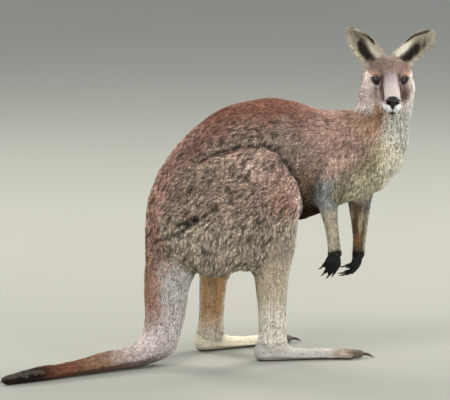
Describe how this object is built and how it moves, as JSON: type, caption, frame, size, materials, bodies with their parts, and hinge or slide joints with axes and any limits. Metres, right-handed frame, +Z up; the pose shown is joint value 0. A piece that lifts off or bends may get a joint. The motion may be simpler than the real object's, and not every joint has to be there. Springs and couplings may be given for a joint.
{
  "type": "kangaroo figure",
  "caption": "Life-size grey kangaroo standing on its hind feet and laid tail, body level, arms hanging, head turned to look over its right side.",
  "frame": {"origin": "on the floor under the middle of the whole model's box", "axes": "+X is the way the body faces, which is the model's longest side, +Y is the animal's left, +Z is up"},
  "size_m": [1.0666, 0.621, 0.8369],
  "materials": {
    "coat": "short dense brownish grey fur, mottled by dark and light hair tips",
    "pale_coat": "short pale cream-grey fur",
    "dark_coat": "short dark brown to black fur",
    "hand_coat": "very short black fur on the hands",
    "nose_skin": "bare, slightly moist black nose skin",
    "claw": "smooth dark horn",
    "eye": "wet, dark brown eye"
  },
  "bodies": {
    "root": {"trunk": "coat", "neck": "coat", "head": "coat", "nose": "nose_skin", "eye_left": "eye", "ear_left": "coat", "eye_right": "eye", "ear_right": "coat", "thigh_left": "coat", "thigh_right": "coat", "shank_left": "pale_coat", "foot_left": "pale_coat", "toe_4_claw_left": "claw", "toe_5_claw_left": "claw", "toe_2_claw_left": "claw", "toe_3_claw_left": "claw", "shank_right": "pale_coat", "foot_right": "pale_coat", "toe_4_claw_right": "claw", "toe_5_claw_right": "claw", "toe_2_claw_right": "claw", "toe_3_claw_right": "claw", "tail_base": "coat", "tail_middle": "coat", "tail_tip": "dark_coat", "upper_arm_left": "coat", "forearm_left": "pale_coat", "hand_left": "hand_coat", "finger_1_claw_left": "claw", "finger_2_claw_left": "claw", "finger_3_claw_left": "claw", "finger_4_claw_left": "claw", "finger_5_claw_left": "claw", "upper_arm_right": "coat", "forearm_right": "pale_coat", "hand_right": "hand_coat", "finger_1_claw_right": "claw", "finger_2_claw_right": "claw", "finger_3_claw_right": "claw", "finger_4_claw_right": "claw", "finger_5_claw_right": "claw"}
  },
  "joints": []
}
